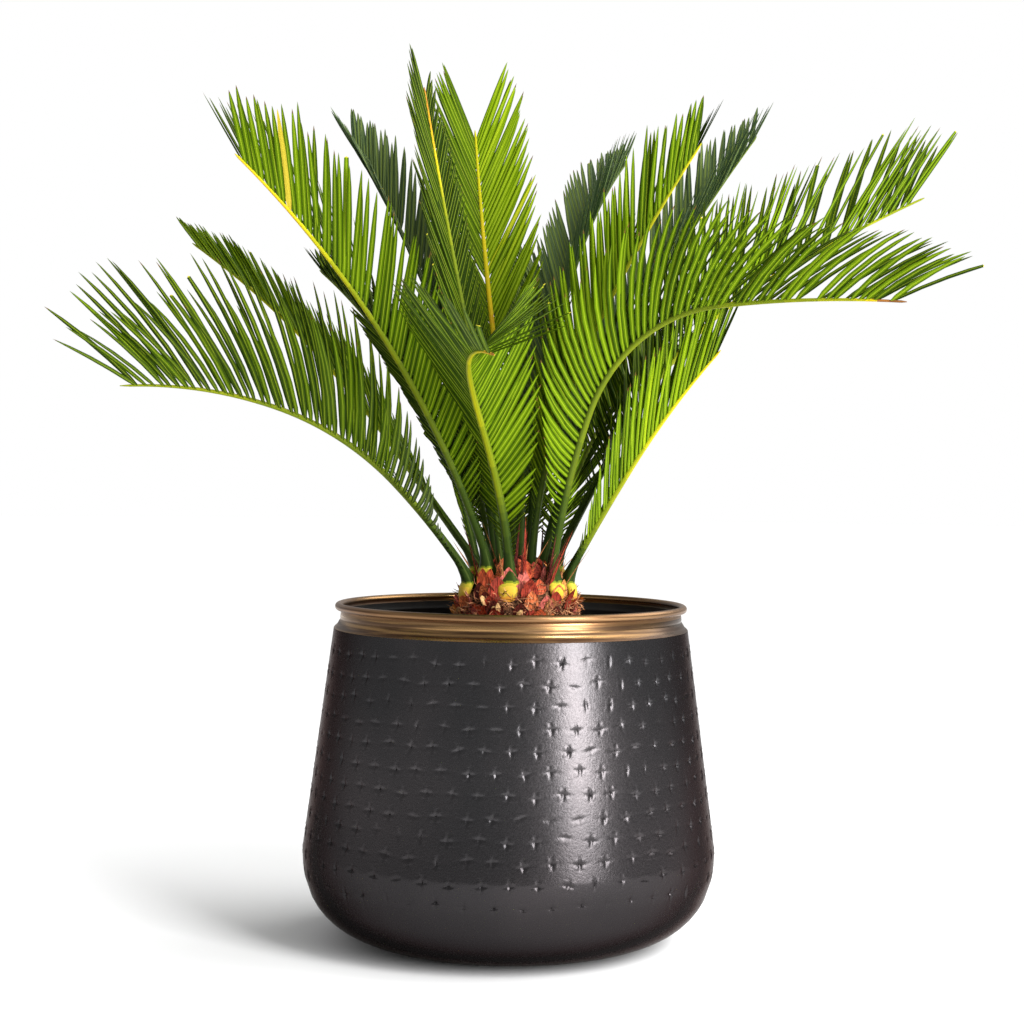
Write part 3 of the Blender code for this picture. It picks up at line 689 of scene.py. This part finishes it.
# Painted shade: these dark rungs go to the spines, the first leaflets at the comb's foot and the rows given a new
# lift.
PAINTED_SHADE_RUNGS = (1, 2)
PAINTED_SHADE_FOOT = 0.03
MIDRIB_COLOUR = (0.50, 0.60, 0.04)
MIDRIB_MIX = 0.26
DRY_LADDER = ((0.44, 0.38, 0.03), (0.42, 0.33, 0.03), (0.10, 0.060, 0.015))
TIP_DARK = 2
DARK_TIPS = 0.35
RIB_LADDER = ((0.018, 0.036, 0.007), (0.036, 0.062, 0.008), (0.074, 0.106, 0.009), (0.125, 0.165, 0.008),
              (0.22, 0.24, 0.008), (0.42, 0.38, 0.010), (0.54, 0.39, 0.012), (0.52, 0.25, 0.015),
              (0.28, 0.11, 0.025), (0.10, 0.045, 0.020))
FOOT_LADDER = ((0.15, 0.19, 0.014), (0.44, 0.36, 0.030), (0.62, 0.42, 0.045), (0.64, 0.28, 0.040))
WAXY_GLOSS = (0.80, 0.90, 0.20, 1.0)

rungs = len(LEAF_LADDER)
midribs = [tuple(value + (pale - value) * MIDRIB_MIX for value, pale in zip(colour, MIDRIB_COLOUR))
           for colour in LEAF_LADDER]
leaf_finishes = (plain_set("leaf_green", LEAF_LADDER, 0.46, 0.06) + plain_set("leaf_midrib", midribs, 0.42, 0.08)
                 + plain_set("leaf_dry", DRY_LADDER, 0.75, 0.1))
DRY_FINISH = 2 * rungs
rib_colours = [tuple((a + b) / 2 for a, b in zip(RIB_LADDER[i // 2], RIB_LADDER[(i + 1) // 2]))
               for i in range(2 * len(RIB_LADDER) - 1)]
rib_finishes = plain_set("rib_shade", rib_colours, 0.42, 0.14) + plain_set("stalk_foot", FOOT_LADDER, 0.5, 0.2)
FOOT_FINISH = len(rib_colours)
for finish in leaf_finishes + rib_finishes:
    shader_of(finish).inputs["Specular Tint"].default_value = WAXY_GLOSS


def rib_curve(azimuth, rise, length, whorl, seat, swing, roll):
    """Points along a rib with their directions: along it, up out of the blade, and to the side."""
    share = np.linspace(0.0, 1.0, RIB_STEPS + 1)
    lift = np.radians(np.interp(share, np.linspace(0.0, 1.0, len(rise)), rise))[:, None]
    out = level_ways(np.radians(azimuth + swing * share))
    level = np.cross(out, UP)
    tilt = math.radians(roll)
    steep = -np.sin(lift) * out + np.cos(lift) * UP
    along = np.cos(lift) * out + np.sin(lift) * UP
    radius, height = WHORLS[whorl]
    seat = math.radians(azimuth if seat is None else seat)
    start = np.array((TRUNK_X + radius * math.cos(seat), radius * math.sin(seat), height))
    steps = (along[1:] + along[:-1]) / 2 * length / RIB_STEPS
    points = np.vstack([start, start + np.cumsum(steps, axis=0)])
    return {"share": share, "points": points, "along": along, "length": length,
            "up": math.cos(tilt) * steep + math.sin(tilt) * level,
            "side": math.cos(tilt) * level - math.sin(tilt) * steep,
            "widths": INNER_RIB_WIDTHS if whorl == "inner" else RIB_WIDTHS, "seat": seat, "whorl": whorl}


def on_rib(rib, shares):
    """Point, along, up and side at an array of shares."""
    return [np.stack([np.interp(shares, rib["share"], rib[key][:, axis]) for axis in range(3)], axis=-1)
            for key in ("points", "along", "up", "side")]


def read_off(table, shares):
    return np.interp(shares, [row[0] for row in table], [row[1] for row in table])


def add_tube(bm, places, sides, finish_of):
    """A closed tube through (middle, half width vector, half depth vector) places."""
    rings = []
    for middle, half_width, half_depth in places:
        ring = bmesh.ops.create_circle(bm, segments=sides, radius=1.0)["verts"]
        for i, vert in enumerate(ring):
            angle = math.tau * i / sides
            vert.co = Vector(middle + half_width * math.cos(angle) + half_depth * math.sin(angle))
        rings.append(ring)
    for number, (low, high) in enumerate(zip(rings, rings[1:])):
        for k in range(sides):
            face = bm.faces.new((low[k], low[(k + 1) % sides], high[(k + 1) % sides], high[k]))
            face.material_index = finish_of(number, k)
    bm.faces.new(rings[0][::-1]).material_index = finish_of(0, 0)
    bm.faces.new(rings[-1]).material_index = finish_of(len(places) - 1, 0)


def add_rib(bm, rib, ripeness, tip_length):
    """The rib, swept from inside the trunk to its tip, darker along its two edges."""
    shares = np.concatenate([np.linspace(0.0, 0.10, 8), np.linspace(0.12, 1.0, 44)])
    point, along, up, side = on_rib(rib, shares)
    width = read_off(rib["widths"], shares) / 2
    half_width = side * width[:, None]
    half_depth = up * (width * RIB_DEPTH)[:, None]
    places = list(zip(point, half_width, half_depth))
    places.append((point[-1] + along[-1] * tip_length, half_width[-1] * RIB_END, half_depth[-1] * RIB_END))
    shade = read_off(ripeness, np.append(shares, 1.0)) * 2
    edge = (1, 0, 0, 0, 1, 1, 0, -1, 0, 1)
    add_tube(bm, places, len(edge), lambda i, k: int(np.clip(round(shade[i]) - edge[k], 0, FOOT_FINISH - 1)))


def add_foot(bm, rib):
    """The stalk's swollen foot: it broadens as it comes down on the trunk, turns from green to yellow
    and orange, and ends in a blunt point behind the scales."""
    point, along, up, side = on_rib(rib, np.array(FOOT_RUN) / rib["length"])
    out = np.array([math.cos(rib["seat"]), math.sin(rib["seat"]), 0.0])
    across = np.array([-out[1], out[0], 0.0])
    if across @ side[0] < 0:
        across = -across
    path = []
    for i, push in enumerate(FOOT_PUSH):
        turn = i / (len(FOOT_PUSH) - 1)
        path.append((*(point[i] + out * push), *(side[i] * (1 - turn) + across * turn),
                     *(up[i] * (turn - 1) + out * turn)))
    top = np.array(path[-1][:3])
    for drop, reach in FOOT_DROPS:
        path.append((*(top + out * reach - UP * drop), *across, *(out + UP * FOOT_LEAN)))
    rings = np.arange(len(path))
    fine = np.linspace(0, rings[-1], 46)
    path = np.stack([np.interp(fine, rings, column) for column in np.array(path).T], axis=1)
    widths, depths = (FOOT_SIZES[rib["whorl"]] * np.interp(fine, rings, sizes)
                      for sizes in (FOOT_HALF_WIDTHS, FOOT_HALF_DEPTHS))
    places = [(row[:3], unit(row[3:6]) * w, unit(row[6:]) * n) for row, w, n in zip(path, widths, depths)]
    shade = [0 if ripe < FOOT_TURNS else FOOT_FINISH + int(ripe - FOOT_TURNS)
             for ripe in read_off(FOOT_RIPENESS, fine)]
    add_tube(bm, places, 18, lambda i, k: shade[max(i - (k * 7 % 3 == 0), 0)])


def grow_frond(name, azimuth, rise, length, leaflet, whorl, *, spread, upper, under, ripeness, seed,
               ends=(), seat=None, swing=0.0, roll=0.0, lift=60.0, sweep=0.10, left=1.0, open_end=0.0,
               vary=0.5, tip_length=0.004, changed=(), yellowed=(), painted_lit_row=(1, 0.0), dry=0.004, blunt=0.03):
    """One frond: its rib with the stalk's foot in one mesh, its leaflets and spines in another.

    rise lists the rib's slopes from foot to tip, in degrees. lift is how far the leaflets stand up out
    of the blade, and upper and under are the rungs of their two faces. Each row of changed has a side,
    the run of shares on it, the lift there and what is left of the leaflets' length. Where a lift is
    given, those leaflets take dark rungs as painted shade, as do the spines and the first leaflets.
    """
    nodes = (name, *ends)
    rng = np.random.default_rng(seed)
    rib = rib_curve(azimuth, rise, length, whorl, seat, swing, roll)
    bm = bmesh.new()
    add_rib(bm, rib, ripeness, tip_length)
    if whorl != "inner":
        add_foot(bm, rib)
    stalk = finished(f"{name}_rib", bm, rib_finishes, 50)
    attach(stalk, "root")
    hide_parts(*nodes)

    pairs = round(length * (LAST_SHARE - BARE_SHARE) / PITCH)
    whole = ((np.arange(pairs) + 0.5) / pairs) ** CROWDING
    share = BARE_SHARE + (LAST_SHARE - BARE_SHARE) * whole
    share = np.concatenate([np.linspace(SPINES_FROM, BARE_SHARE, SPINES), share])
    whole = np.concatenate([np.zeros(SPINES), whole * left])
    size = leaflet * read_off(LEAFLET_LENGTHS, whole)
    size[:SPINES] *= SPINE_SIZES
    width = LEAFLET_WIDTH * np.clip(size / leaflet * 2.2, 0.30, 1.0)
    share, whole, size, width = (np.tile(row, 2) for row in (share, whole, size, width))
    hand = np.repeat([1.0, -1.0], len(share) // 2)
    kept = rng.random(len(share)) > MISSING + open_end * np.clip((whole - OPEN_FROM) / OPEN_RUN, 0.0, 1.0)
    raised = lift * read_off(LEAFLET_LIFTS, whole)
    # Leaflets at the comb's foot, and below the rows given a new lift, are marked for painted shade.
    in_painted_shade = whole < PAINTED_SHADE_FOOT
    for row, low, high, new_lift, shortened in changed:
        here = (hand == row) & (share > low) & (share < high)
        size = np.where(here, size * shortened, size)
        if new_lift is not None:
            raised = np.where(here, new_lift, raised)
            in_painted_shade |= here
    share, whole, size, width, hand, raised, in_painted_shade = (
        row[kept] for row in (share, whole, size, width, hand, raised, in_painted_shade))
    count = len(share)
    size = size * rng.normal(1.0, UNEVEN["size"], count)
    share = np.clip(share + rng.normal(0, UNEVEN["place"] / length, count), 0, 1)
    angle = np.minimum(LEAFLET_MOST_ANGLE, spread * read_off(LEAFLET_ANGLES, whole))
    angle = angle + rng.normal(0, UNEVEN["angle"], count)
    raised = np.radians(raised + rng.normal(0, UNEVEN["lift"], count))[:, None, None]
    point, along, up, side = on_rib(rib, share)
    side = side * hand[:, None]
    point = point + side * (read_off(rib["widths"], share) * LEAFLET_SEAT)[:, None]
    stations = np.array(LEAFLET_STATIONS)
    bent = np.radians(angle[:, None] * (1 - sweep * stations))[..., None]
    out = side[:, None] * np.cos(raised) + up[:, None] * np.sin(raised)
    direction = along[:, None] * np.cos(bent) + out * np.sin(bent)
    across = along[:, None] * np.sin(bent) - out * np.cos(bent)
    normal = up[:, None] * np.cos(raised) - side[:, None] * np.sin(raised)
    twist = (LEAFLET_TILT + rng.normal(0, UNEVEN["tilt"], count)[:, None]
             + rng.normal(0, UNEVEN["turn"], count)[:, None] * stations)[..., None]
    across, normal = (across * np.cos(twist) + normal * np.sin(twist),
                      normal * np.cos(twist) - across * np.sin(twist))
    steps = np.diff(stations, prepend=0.0)
    between = np.concatenate([direction[:, :1], (direction[:, 1:] + direction[:, :-1]) / 2], axis=1)
    middle = point[:, None] + np.cumsum(between * (size[:, None] * steps)[..., None], axis=1)
    is_blunt = rng.random(count) < blunt
    half_width = width[:, None] / 2 * np.where(is_blunt[:, None], LEAFLET_BLUNT, LEAFLET_TAPER)
    tip_run = np.where(is_blunt, 0.01, 1 - stations[-1]) * size
    tip = middle[:, -1] + unit(direction[:, -1] * 1.6 - direction[:, -2] * 0.6) * tip_run[:, None]

    def deal(level):
        """A rung for each leaflet near a level, kept to the ordinary greens or to the blue-grey ones, whose paler
        rungs add a painted sheen.
        """
        low, high = (0, ORDINARY_RUNGS - 1) if level < ORDINARY_RUNGS - 0.5 else (ORDINARY_RUNGS, rungs - 1)
        # Painted light: the leaflets of one side are raised some rungs, for the side the light falls on.
        shift = np.where(hand == painted_lit_row[0], painted_lit_row[1], 0.0)
        return np.clip(np.rint(level + shift + rng.normal(0, vary, count)), low, high).astype(int)

    upper_shade, under_shade = deal(upper), deal(under)
    # Those leaflets take the dark rungs of painted shade.
    upper_shade[in_painted_shade], under_shade[in_painted_shade] = PAINTED_SHADE_RUNGS
    is_dry = rng.random(count) < dry
    dry_shade = DRY_FINISH + rng.integers(0, 2, count)
    for yellow_side, yellow_share in yellowed:
        is_dry[np.abs(share - yellow_share + (hand != yellow_side)).argmin()] = True
    has_dark_tip = rng.random(count) < DARK_TIPS
    upper_edge, under_edge = (np.where(shade < ORDINARY_RUNGS, np.maximum(shade - 2, 0),
                                       np.maximum(shade - 1, ORDINARY_RUNGS)) for shade in (upper_shade, under_shade))
    shades = np.stack([upper_shade, under_shade, rungs + upper_shade, rungs + under_shade, upper_edge, under_edge],
                      axis=1)
    shades[is_dry] = dry_shade[is_dry, None]
    # Which of those shades each side of the ring takes: edge, face, midrib, face and edge, twice.
    part = (4, 0, 2, 0, 4, 5, 1, 3, 1, 5)
    last = len(stations) - 1

    def finish_of(i, s, k):
        if s == last:
            if is_blunt[i]:
                return DRY_FINISH
            if has_dark_tip[i]:
                return DRY_FINISH + TIP_DARK
        return int(shades[i, part[k]])

    leaves = blades(f"{name}_leaflets", middle, across, normal, half_width, tip, LEAFLET_RING, finish_of,
                    leaf_finishes, 32)
    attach(leaves, "root")
    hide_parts(*nodes)


grow_frond("frond_right_arching", -40, (83, 68, 4, -5), 0.450, 0.104, "outer",
           ends=("frond_right_arching_end",), swing=11, spread=1.0, sweep=0.42, left=0.90, open_end=0.30,
           upper=2.3, under=4.2,
           ripeness=((0, 0), (0.14, 0.8), (0.2, 2), (0.5, 3), (0.75, 3.4), (0.93, 5), (0.96, 8.6), (1, 9)), seed=1)
grow_frond("frond_right_high", 8, (65, 59, 31, 25), 0.475, 0.114, "middle", swing=6,
           spread=0.95, left=0.92, open_end=0.36, upper=2.7, under=3.8,
           ripeness=((0, 0), (0.14, 0.8), (0.3, 3), (0.6, 5), (1, 4)), seed=2)

# Fronds on the left: a long low one whose tip is broken off, one above it that lies nearly closed,
# and a tall one with upright lime leaflets and a rib that turns orange.

grow_frond("frond_left_low", 203, (56, 44, 17, -3), 0.350, 0.128, "outer", roll=-22,
           spread=1.15, sweep=0.25, left=0.90, open_end=0.22, dry=0.0, upper=2.0, under=3.6, tip_length=0.008,
           changed=((1, 0.10, 0.36, 6.0, 0.30),),
           ripeness=((0, 0), (0.14, 0.8), (0.25, 2.4), (0.6, 3.6), (1, 4.2)), seed=3)
grow_frond("frond_left_upright", 220, (68, 52, 36), 0.408, 0.095, "middle",
           spread=0.78, sweep=0.05, left=0.94, dry=0.0, upper=2.0, under=4.0,
           changed=((1, 0.12, 0.55, 8.0, 0.42),), yellowed=((-1, 0.86),),
           ripeness=((0, 0), (0.14, 0.8), (0.3, 2.5), (0.6, 3.8), (0.75, 5), (0.85, 6), (1, 6.2)), seed=4)
grow_frond("frond_left_middle", 180, (54, 54, 46, 35), 0.366, 0.070, "middle", lift=45,
           spread=0.62, sweep=0.20, upper=3.6, under=4.8,
           ripeness=((0, 0), (0.14, 0.8), (0.3, 3), (0.6, 5), (1, 4)), seed=5)
grow_frond("frond_back_left_low", 150, (79, 60, 38), 0.322, 0.066, "outer", swing=4,
           lift=45, spread=0.60, upper=1.5, under=2.0, ripeness=((0, 0), (0.5, 1), (1, 3)), seed=6)

# Fronds in the middle: two tall ones with yellow ribs, and in front of them a short one whose rib
# was bent over, with olive leaflets and dry, blunt ends.

grow_frond("frond_centre", 113, (79.5, 71, 77), 0.392, 0.105, "inner", seat=102, swing=-3,
           lift=20, spread=0.60, left=0.88, upper=3.7, under=3.1, vary=0.6, painted_lit_row=(1, 2.3),
           ripeness=((0, 0), (0.14, 0.8), (0.3, 3), (0.45, 5), (0.55, 6.4), (0.65, 5.4), (1, 5)), seed=7)
grow_frond("frond_centre_left", 144, (82.5, 76, 79), 0.412, 0.096, "inner", seat=165,
           swing=6.5, lift=12, spread=0.62, upper=1.1, under=1.2, changed=((1, 0.30, 1.0, None, 0.55),),
           ripeness=((0, 0), (0.14, 0.8), (0.5, 2), (0.75, 4), (0.85, 6), (1, 8)), seed=8)
grow_frond("frond_front", 224, (91, 57, 19, -11), 0.336, 0.104, "outer",
           ends=("frond_front_end",), seat=260, swing=67, lift=40, spread=0.80, left=0.85, upper=4.2, under=3.2,
           painted_lit_row=(-1, 1.3), blunt=0.12,
           ripeness=((0, 0), (0.14, 0.8), (0.25, 3), (0.5, 4), (0.85, 4.4), (1, 8)), seed=9)

# Fronds on the right side of the crown: an upright one behind the arching one, and a small
# yellow-green one under it.

grow_frond("frond_right_upright", -30, (88, 62, 52), 0.375, 0.092, "inner", swing=-4,
           lift=45, spread=0.62, upper=3.0, under=3.9, ripeness=((0, 0), (0.14, 0.8), (0.4, 3), (1, 5)), seed=10)
grow_frond("frond_right_small", -16, (61, 58, 48), 0.236, 0.086, "outer", seat=-12,
           lift=50, spread=0.62, left=0.90, upper=3.9, under=4.3, vary=1.1,
           ripeness=((0, 0), (0.14, 0.8), (0.2, 3), (0.5, 4.5), (1, 6)), seed=11)

# Fronds at the back: older ones with dark blue-green leaflets; on some the blue-grey is their own colour with a
# painted sheen added.
# The last four are hidden behind the others, and make the crown as full there as at the front.

grow_frond("frond_back_right", 41, (75, 53, 46), 0.478, 0.090, "middle", seat=43,
           roll=-10, lift=45, spread=0.60, upper=10.6, under=10.4, ripeness=((0, 0), (0.5, 1), (1, 3)), seed=12)
grow_frond("frond_back_left_upright", 128, (80, 57, 44), 0.462, 0.092, "middle",
           lift=45, spread=0.55, upper=10.7, under=10.5, ripeness=((0, 0), (0.5, 1), (1, 2)), seed=13)
grow_frond("frond_back_right_upright", 66, (86, 63, 34), 0.430, 0.086, "inner",
           seat=45, swing=-3, roll=-30, lift=45, spread=0.55, upper=10.7, under=10.7,
           ripeness=((0, 0), (0.5, 1), (1, 2)), seed=14)
grow_frond("frond_back_upright", 86, (70, 52, 22), 0.380, 0.090, "middle", seat=88,
           lift=50, spread=0.85, sweep=0.20, upper=1.8, under=2.6, ripeness=((0, 0), (0.5, 2), (1, 4)), seed=15)
grow_frond("frond_back_left", 115, (64, 46, 10), 0.370, 0.090, "outer", lift=50,
           spread=0.85, sweep=0.20, upper=2.2, under=3.4, ripeness=((0, 0), (0.14, 0.8), (0.5, 2), (1, 4)), seed=16)
grow_frond("frond_back_right_low", 60, (62, 40, 4), 0.360, 0.090, "outer", lift=50,
           spread=0.85, sweep=0.20, upper=2.4, under=3.8, ripeness=((0, 0), (0.14, 0.8), (0.5, 3), (1, 4)), seed=17)
grow_frond("frond_back_low", 88, (50, 26, -10), 0.330, 0.088, "outer", lift=50,
           spread=0.85, sweep=0.20, upper=2.6, under=3.8, ripeness=((0, 0), (0.14, 0.8), (0.5, 3), (1, 4)), seed=18)

# Studio: a plain pale floor under even white light, a tall soft lamp at the front right that draws
# the upright highlight on the pot, and a soft key from behind the right that throws the shadow.

CAMERA_PLACE = (0.0, -1.66, 0.3876)
CAMERA_DIP = 1.16
CAMERA_ROLL = 0.60
PICTURE_WIDTH = 1024
FOCAL_LENGTH = 2000
SENSOR = 36.0

floor_bm = bmesh.new()
bmesh.ops.create_circle(floor_bm, cap_ends=True, segments=96, radius=14.0)
floor = finished("floor", floor_bm, (bare_material("pale_floor", (0.93, 0.93, 0.93), 0.9, shine=0.0),), 30)
floor.location.z = -0.0004

world = bpy.data.worlds.new("white_studio")
bpy.context.scene.world = world
world.use_nodes = True
sky = world.node_tree.nodes["Background"]
sky.inputs["Color"].default_value = (1.0, 1.0, 1.0, 1.0)
seen = add_node(world.node_tree, "ShaderNodeLightPath", {})
wall_and_fill = add_node(world.node_tree, "ShaderNodeMapRange",
                         {"Value": seen["Is Camera Ray"], "To Min": 0.48, "To Max": 1.0})
world.node_tree.links.new(wall_and_fill["Result"], sky.inputs["Strength"])


def aimed(name, data, place, target):
    lamp = bpy.data.objects.new(name, data)
    bpy.context.scene.collection.objects.link(lamp)
    lamp.location = place
    lamp.rotation_euler = (Vector(target) - Vector(place)).to_track_quat("-Z", "Y").to_euler()


key = bpy.data.lights.new("soft_key", "SUN")
key.energy = 2.9
key.angle = math.radians(60)
aimed("soft_key", key, (1.7, 0.5, 1.9), (0, 0, 0.1))
strip = bpy.data.lights.new("tall_softbox", "AREA")
strip.shape = "RECTANGLE"
strip.size = 0.56
strip.size_y = 1.4
strip.energy = 53.0
aimed("tall_softbox", strip, (0.99, -1.22, 0.85), (0, 0, 0.20))

camera_data = bpy.data.cameras.new("camera")
camera_data.sensor_width = SENSOR
camera_data.lens = SENSOR * FOCAL_LENGTH / PICTURE_WIDTH
camera_data.clip_start = 0.05
camera_data.clip_end = 60.0
camera = bpy.data.objects.new("camera", camera_data)
bpy.context.scene.collection.objects.link(camera)
camera.matrix_world = (Matrix.Translation(CAMERA_PLACE) @ Matrix.Rotation(math.radians(90 - CAMERA_DIP), 4, "X")
                       @ Matrix.Rotation(math.radians(CAMERA_ROLL), 4, "Z"))
bpy.context.scene.camera = camera
bpy.context.scene.view_settings.view_transform = "Standard"
